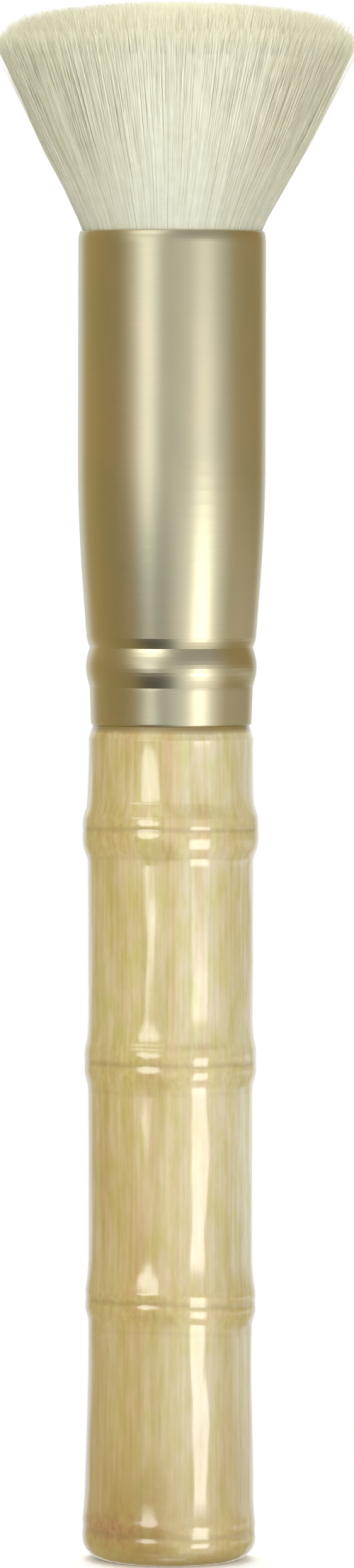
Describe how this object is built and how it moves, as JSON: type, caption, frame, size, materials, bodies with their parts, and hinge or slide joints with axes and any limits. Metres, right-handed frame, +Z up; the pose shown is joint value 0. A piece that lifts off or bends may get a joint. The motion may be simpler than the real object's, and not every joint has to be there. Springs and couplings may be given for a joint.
{
  "type": "kabuki makeup brush",
  "caption": "Flat-topped kabuki brush: dense flared goat hair in a crimped satin ferrule on a lacquered bamboo cane handle.",
  "frame": {"origin": "middle of the bottom of the whole brush's bounding box, which is the middle of the butt that it stands on", "axes": "+Z up the brush's own axis from the butt to the hair; X and Y are square to it, and the pictured side faces -Y"},
  "size_m": [0.0364, 0.036, 0.1627],
  "materials": {
    "bamboo": "whole bamboo cane under clear gloss lacquer",
    "ferrule_aluminium": "satin, anodised pale champagne gold",
    "goat_hair": "natural cream goat hair",
    "resin": "clear amber setting resin",
    "thread": "twisted white binding thread",
    "glue": "set wood glue"
  },
  "bodies": {
    "root": {"bamboo_handle": "bamboo", "ferrule": "ferrule_aluminium", "hair_bundle": "goat_hair", "resin_plug": "resin", "binding_thread": "thread", "tenon_glue": "glue"}
  },
  "joints": []
}
